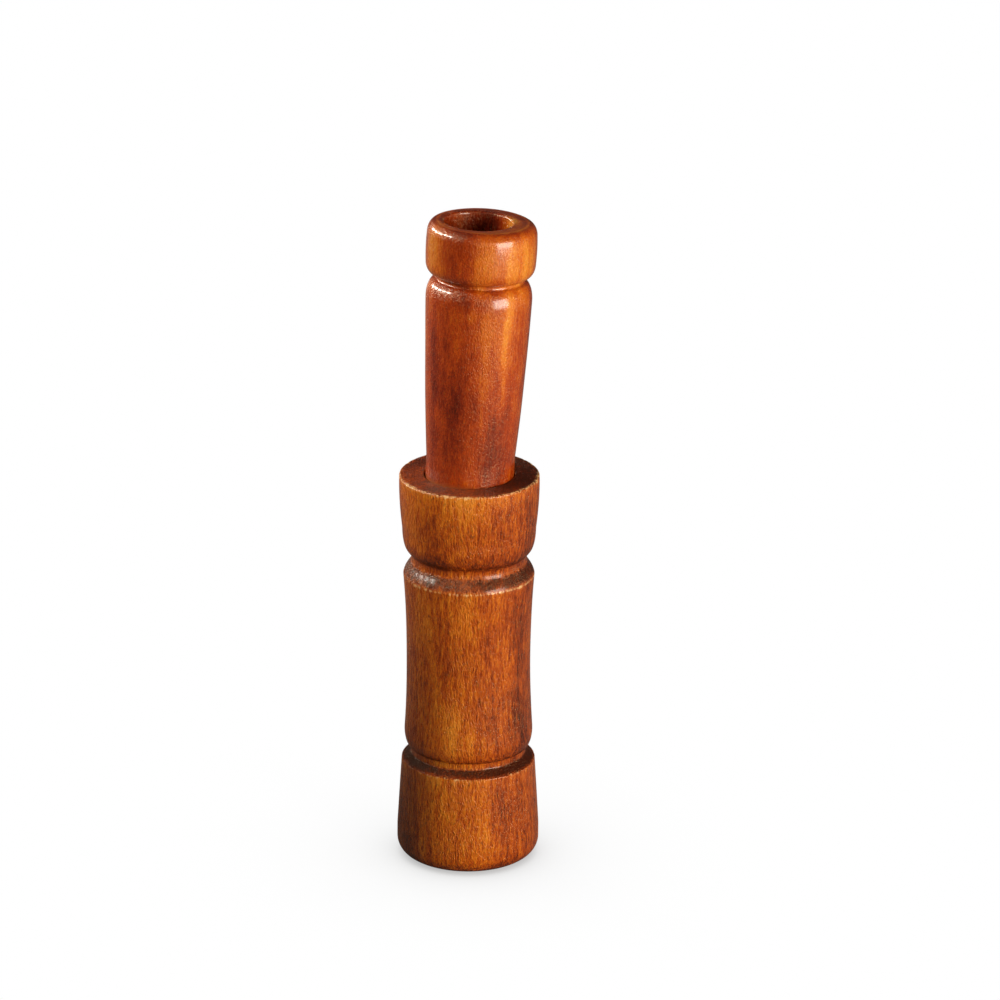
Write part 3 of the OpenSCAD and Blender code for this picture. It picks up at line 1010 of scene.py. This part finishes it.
section = np.linspace(0, 2 * np.pi, SECTION_POINTS, endpoint=False)[:, None]
thick = RING_SECTION / 2 - SEAM + SEAM * np.exp(-(np.sin(section) / SEAM_WIDTH) ** 2)
ring_grid = turned_points(RING_R + thick * np.cos(section), ring_z + thick * np.sin(section))
ring_points = rocked(ring_grid)
ring_faces = loop_faces(SECTION_POINTS, AROUND)
ring = add_piece("sealing_ring", ring_points, ring_faces, "seal", "o_ring")
print("sealing ring:", round(volume(ring_points, ring_faces), 1), "cubic millimetres")

# %% [markdown]
# Black rubber goes grey where a bloom of wax comes out of it, and its skin is slightly pebbled.

# %% Rubber finish
RUBBER_TONES = [(0, (0.009, 0.009, 0.010)), (1, (0.040, 0.039, 0.037))]
RUBBER_SHINE = 0.46
BLOOM_ROUGH = 0.3

shader, place = new_finish(ring, "black_rubber", Specular_IOR_Level=0.4)
bloom = place.speckle(across=2.5, along=1.2, detail=4).between(0.42, 0.72)
pebble = place.speckle(across=0.18, along=0.18)
feed(shader, Base_Color=bloom.coloured(RUBBER_TONES),
     Roughness=RUBBER_SHINE + bloom * BLOOM_ROUGH, Normal=pebble.bump(strength=0.5, depth=0.06))
print("rubber finish:", ring.active_material.name)

# %% [markdown]
# ## The tone board
# The tone board is a half-round moulded trough on a round stem, and it has a slot for the wedge.
# Its section breaks in two at the slot, so no single grid can give it, and its solid is right
# already. A merged copy of the solid takes a Bevel modifier, because no moulded edge is a knife's
# edge and the rounded ones catch the light.

# %% Tone board
BOARD_EDGE = 0.12 * MM
EDGE_LIMIT = math.radians(30)
FLAT_LIMIT = math.radians(0.2)
MERGE_WITHIN = 1e-6

solid = frame["nodes"]["tone_board"]
board_mesh = solid.data.copy()
board_mesh.name = "tone_board_moulded"
board_mesh.materials.clear()
work = bmesh.new()
work.from_mesh(board_mesh)
bmesh.ops.remove_doubles(work, verts=work.verts, dist=MERGE_WITHIN)
bmesh.ops.dissolve_limit(work, angle_limit=FLAT_LIMIT, verts=work.verts, edges=work.edges)
work.to_mesh(board_mesh)
open_edges = sum(not edge.is_manifold for edge in work.edges)
work.free()
board_mesh.shade_smooth()
board_mesh.set_sharp_from_angle(angle=EDGE_LIMIT)
board = add_object("tone_board_moulded", board_mesh)
rounding = board.modifiers.new("rounded_edges", "BEVEL")
rounding.width = BOARD_EDGE
rounding.segments = 3
rounding.limit_method = "ANGLE"
rounding.angle_limit = EDGE_LIMIT
rounding.harden_normals = True
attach(board, "insert")
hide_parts("tone_board")
print("tone board:", len(board_mesh.polygons), "faces and", open_edges, "open edges")

# %% [markdown]
# The board is satin black plastic. Handling polishes it unevenly, and the face under the reed is
# sanded true along its length, which leaves fine scratches that a long thin noise gives.

# %% Moulded plastic finish
PLASTIC_TONES = [(0.3, (0.010, 0.010, 0.012)), (0.8, (0.026, 0.026, 0.029))]
PLASTIC_SHINE = 0.22
HANDLED_ROUGH = 0.28
SCRATCH_ROUGH = 0.08

shader, place = new_finish(board, "satin_black_plastic", Specular_IOR_Level=0.5)
handled = place.speckle(across=4, along=9, detail=4)
scratch = place.speckle(across=0.12, along=6)
roughness = PLASTIC_SHINE + handled * HANDLED_ROUGH + scratch * SCRATCH_ROUGH
feed(shader, Base_Color=handled.coloured(PLASTIC_TONES), Roughness=roughness,
     Normal=scratch.bump(strength=0.35, depth=0.04))
print("plastic finish:", board.active_material.name)

# %% [markdown]
# ## The reed
# The reed is a strip of milky film with rounded tip corners, thinner at its rubbed edges. It is
# one closed section carried along its length: the section runs over the front from left to right
# and back behind it, its half width follows the rounded corners, and pairs of points close both
# ends.

# %% Sizes of the reed, in millimetres
REED_LEN = 43.5
REED_HALF = 5.5
REED_CORNER = 2.0
REED_FRONT = -1.28
REED_BACK = -1.03
ROOT_PLAY = 0.03
EDGE_THINNING = 0.35
THINNING_POWER = 14
RIM_POWER = 8
CORNER_ROWS = 24
LENGTH_ROWS = 60
FACE_POINTS = 40

reed_low = tenon_z - REED_LEN
reed_root = tenon_z - ROOT_PLAY
print("the reed's tip is", round(reed_low, 1), "mm above the table")

# %% Reed
def band_faces(rows, columns):
    """Quads of a closed section carried along a path, from each row to the next."""
    return loop_faces(rows, columns)[:-columns]


def end_faces(rows, columns):
    """Quads across both ends of such a band, between pairs of points on its two sides."""
    pair = np.arange(columns // 2 - 1)
    first = np.stack([pair, columns - 1 - pair, columns - 2 - pair, pair + 1], axis=-1)
    return np.vstack([first, first[:, ::-1] + (rows - 1) * columns])


quarter = np.linspace(0, np.pi / 2, CORNER_ROWS)[:-1]
straight = np.linspace(REED_CORNER, reed_root - reed_low, LENGTH_ROWS)
from_tip = np.append(REED_CORNER * (1 - np.cos(quarter)), straight)
into_corner = np.maximum(REED_CORNER - from_tip, 0)
half_width = REED_HALF - REED_CORNER + np.sqrt(REED_CORNER ** 2 - into_corner ** 2)
share = np.sin(np.linspace(-np.pi / 2, np.pi / 2, FACE_POINTS))
share = np.append(share, share[::-1])[None, :]
side = np.repeat([-1, 1], FACE_POINTS)[None, :]
thinned = 1 - EDGE_THINNING * share ** THINNING_POWER
depth = (REED_FRONT + REED_BACK) / 2 + side * thinned * (REED_BACK - REED_FRONT) / 2
reed_grid = point_grid(half_width[:, None] * share, depth, (reed_low + from_tip)[:, None])
reed_points = rocked(reed_grid)
rows, columns = reed_grid.shape[:2]
reed_faces = np.vstack([band_faces(rows, columns), end_faces(rows, columns)])
reed_rim = np.broadcast_to(np.abs(share) ** RIM_POWER, (rows, columns))
reed = add_piece("film_reed", reed_points, reed_faces, "reed", "reed",
                 {"rim": reed_rim})
print("reed:", round(volume(reed_points, reed_faces), 1), "cubic millimetres of film")

# %% [markdown]
# Drawn film has faint lines along its length, breath leaves cloudy spots on it, and its cut edges
# look darker because less light comes back out of them.

# %% Film finish
FILM_TONES = [(0.2, (0.66, 0.66, 0.58)), (0.8, (0.76, 0.76, 0.69))]
CLOUDED = (0.68, 0.64, 0.53, 1.0)
CUT_RIM = (0.42, 0.41, 0.34, 1.0)
CLOUD_SHARE, RIM_SHARE = 0.5, 0.7
FILM_SHINE, CLOUD_ROUGH, LINE_ROUGH = 0.24, 0.22, 0.1

shader, place = new_finish(reed, "milky_film", Specular_IOR_Level=0.5)
drawn = place.speckle(across=0.35, along=60, detail=3)
cloud = place.speckle(across=3, along=5, detail=4).between(0.35, 0.75)
milk = drawn.coloured(FILM_TONES).mix(CLOUDED, cloud * CLOUD_SHARE)
milk = milk.mix(CUT_RIM, mask_of(place, "rim") * RIM_SHARE)
feed(shader, Base_Color=milk, Roughness=FILM_SHINE + cloud * CLOUD_ROUGH + drawn * LINE_ROUGH,
     Normal=drawn.bump(strength=0.25, depth=0.03))
print("film finish:", reed.active_material.name)

# %% [markdown]
# ## The wedge
# A block of cork is pushed into the slot and pins the reed's root. Its side outline, as depth and
# height, is worn as the turned outlines are and carried across its width. Near both ends the
# outline draws in by a quarter round, and it closes at its middle.

# %% Wedge
WEDGE_LEN = 6.0
WEDGE_HALF = 4.4
WEDGE_ROUND = 0.35
WEDGE_FRONT_LOW = -1.31
WEDGE_FRONT_HIGH = -1.5707
WEDGE_BACK = -4.17
WEDGE_RINGS = 120
END_ROWS = 8
CLOSE_WITHIN = 1e-7

wedge_low = tenon_z - WEDGE_LEN
wedge_corners = np.array([(WEDGE_FRONT_LOW, wedge_low), (WEDGE_FRONT_HIGH, reed_root),
                          (WEDGE_BACK, reed_root), (WEDGE_BACK, wedge_low)])
wedge_line = worn_outline(wedge_corners, WEDGE_RINGS)["point"].ravel()
heart = wedge_line.mean()
quarter = np.linspace(0, np.pi / 2, END_ROWS)
drawn_in = np.append(np.inf, WEDGE_ROUND * (1 - np.sin(quarter)))
across = np.append(0, WEDGE_ROUND * (1 - np.cos(quarter)))
drawn_in = np.append(drawn_in, drawn_in[::-1])[:, None]
across = np.append(across - WEDGE_HALF, WEDGE_HALF - across[::-1])[:, None]
reach = np.abs(wedge_line - heart)[None, :]
section = heart + (wedge_line - heart)[None, :] * np.maximum(reach - drawn_in, 0) / reach
wedge_points = rocked(point_grid(across, section.real, section.imag))
wedge_faces = band_faces(*section.shape)
wedge = add_piece("cork_wedge", wedge_points, wedge_faces, "insert", "wedge")
work = bmesh.new()
work.from_mesh(wedge.data)
bmesh.ops.remove_doubles(work, verts=work.verts, dist=CLOSE_WITHIN)
work.to_mesh(wedge.data)
work.free()
print("wedge:", round(volume(wedge_points, wedge_faces), 1), "cubic millimetres of cork")

# %% [markdown]
# Cork is a mass of pale grains with brown seams between them and dark pits. The cells of a cell
# texture are the grains, the distance to their borders gives the seams, and noise gives the pits,
# which also dent the surface.

# %% Cork finish
CORK_TONES = [(0, (0.36, 0.19, 0.075)), (1, (0.56, 0.34, 0.16))]
SEAM_BROWN = (0.20, 0.09, 0.03, 1.0)
PIT_BROWN = (0.07, 0.03, 0.012, 1.0)
SEAM_SHARE, PIT_SHARE = 0.6, 0.8
SEAM_DEPTH = 0.4
CORK_SHINE, PALE_ROUGH = 0.82, 0.1

shader, place = new_finish(wedge, "cut_cork", Specular_IOR_Level=0.2)
cells = {"Vector": place, "Scale": 900.0}
to_border = {"feature": "DISTANCE_TO_EDGE"}
grain = place.node("ShaderNodeTexVoronoi", {}, cells, output="Color")
pale = place.node("ShaderNodeSeparateColor", {}, {"Color": grain}, output="Red")
seam = place.node("ShaderNodeTexVoronoi", to_border, cells, output="Distance")
seam = 1 - seam.between(0.02, 0.14)
pit = place.speckle(across=0.5, along=0.5, detail=3).between(0.58, 0.68)
colour = pale.coloured(CORK_TONES).mix(SEAM_BROWN, seam * SEAM_SHARE)
colour = colour.mix(PIT_BROWN, pit * PIT_SHARE)
height = 0 - seam * SEAM_DEPTH - pit
feed(shader, Base_Color=colour, Roughness=CORK_SHINE + pale * PALE_ROUGH,
     Normal=height.bump(strength=0.8, depth=0.15))
print("cork finish:", wedge.active_material.name)

# %% [markdown]
# ## Floor, world and light
# The call stands on a plain pale floor. What the camera sees of it is a plain white glow, so that
# the background is white, except close to the call: there the glow gives way to a matt surface,
# as far as the call hides the open sky from it, and so the floor keeps a soft shadow. Reflections
# see the glow more faintly, because a white room all round would veil the dark stain.

# %% Floor
FLOOR_REACH = 3.0
FLOOR_MATT = (0.25, 0.23, 0.20, 1.0)
WHITE = (1.0, 1.0, 1.0, 1.0)
MIRRORED = 0.02
SHADE_REACH = 0.08
SHADE_LIMITS = (0.1, 0.96)
SHADE = 0.5


def glow_share(wire):
    """1 for rays from the camera and through clear things, a part of it for reflections, 0 for
    light on the object."""
    camera_ray, through, mirrored = (
        wire.node("ShaderNodeLightPath", output=kind)
        for kind in ("Is Camera Ray", "Is Transmission Ray", "Is Glossy Ray")
    )
    return wire.math("MAXIMUM", wire.math("MAXIMUM", camera_ray, through), mirrored * MIRRORED)


floor_mesh = bpy.data.meshes.new("floor")
corners = [(-FLOOR_REACH, -FLOOR_REACH, 0), (FLOOR_REACH, -FLOOR_REACH, 0),
           (FLOOR_REACH, FLOOR_REACH, 0), (-FLOOR_REACH, FLOOR_REACH, 0)]
floor_mesh.from_pydata(corners, [], [(0, 1, 2, 3)])
floor = add_object("floor", floor_mesh)

shader, wire = new_finish(floor, "floor_white", Base_Color=FLOOR_MATT, Roughness=0.9)
glow = wire.node("ShaderNodeEmission", {}, {"Color": WHITE, "Strength": 1.0})
matt = Wire(wire.tree, shader.outputs[0])
hiding = {"Distance": SHADE_REACH}
openness = wire.node("ShaderNodeAmbientOcclusion", {"samples": 16}, hiding, output="AO")
share = glow_share(wire) * (1 - SHADE + openness.between(*SHADE_LIMITS) * SHADE)
surface = wire.node("ShaderNodeMixShader", {}, {0: share, 1: matt, 2: glow})
wire.tree.links.new(surface.socket, wire.tree.nodes["Material Output"].inputs["Surface"])
print("floor reaches", FLOOR_REACH, "m each way")

# %% [markdown]
# The world is white to the camera in the same way, and a dim warm grey to the object. A warm key
# light, a broad low panel, stands to the front right and gives the wide sheen there. Five small
# spots in a slanting row rake the upper half from the left and from behind, so that the sheen on
# the shoulders is long and narrow. One more light, which leaves no shine, fills the back.

# %% World
WORLD_WARM = (1.0, 0.78, 0.52, 1.0)
WORLD_DIM = 0.055

world = bpy.data.worlds.new("studio")
world.use_nodes = True
wire = Wire(world.node_tree)
dim = wire.node("ShaderNodeBackground", {}, {"Color": WORLD_WARM, "Strength": WORLD_DIM})
white = wire.node("ShaderNodeBackground", {}, {"Color": WHITE, "Strength": 1.0})
sky = wire.node("ShaderNodeMixShader", {}, {0: glow_share(wire), 1: dim, 2: white})
wire.tree.links.new(sky.socket, wire.tree.nodes["World Output"].inputs["Surface"])
bpy.context.scene.world = world
bpy.context.scene.view_settings.view_transform = "Standard"
print("world:", world.name)

# %% Lights
MIDDLE = (0, 0, 0.07)
UPPER_HALF = (0, 0, 0.104)
KEY_COLOUR = (1.0, 0.94, 0.84)
RAKE_COLOUR = (1.0, 0.95, 0.86)
FILL_COLOUR = (1.0, 0.96, 0.90)
RAKE_PLACES = ((-130, 13), (-117, 18), (-104, 23), (-91, 28), (-78, 32))
RAKE_WATTS = 30.0


def lamp(name, kind, aim, azimuth, elevation, distance, watts, colour, **settings):
    """Light of that kind, turned towards its aim. It stands at a distance from it, by an angle
    from the front to the right and an angle above the level."""
    turn, lift = math.radians(azimuth), math.radians(elevation)
    way = Vector((math.sin(turn) * math.cos(lift), -math.cos(turn) * math.cos(lift),
                  math.sin(lift)))
    place = Vector(aim) + way * distance
    data = bpy.data.lights.new(name, kind)
    data.energy = watts
    data.color = colour
    for setting, value in settings.items():
        setattr(data, setting, value)
    light = add_object(name, data)
    light.location = place
    light.rotation_euler = (Vector(aim) - place).to_track_quat("-Z", "Y").to_euler()
    return light


lamp("key", "AREA", MIDDLE, azimuth=49, elevation=9, distance=0.7, watts=6.5,
     colour=KEY_COLOUR, shape="RECTANGLE", size=0.42, size_y=0.34)
for azimuth, elevation in RAKE_PLACES:
    lamp("rake", "SPOT", UPPER_HALF, azimuth, elevation, distance=0.67,
         watts=RAKE_WATTS / len(RAKE_PLACES), colour=RAKE_COLOUR,
         spot_size=math.radians(9.6), spot_blend=0.18, shadow_soft_size=0.045)
fill = lamp("fill", "AREA", MIDDLE, azimuth=-165, elevation=12, distance=0.8, watts=3.8,
            colour=FILL_COLOUR, size=0.5)
fill.visible_glossy = False
print("lights:", [light.name for light in bpy.data.lights])

# %% [markdown]
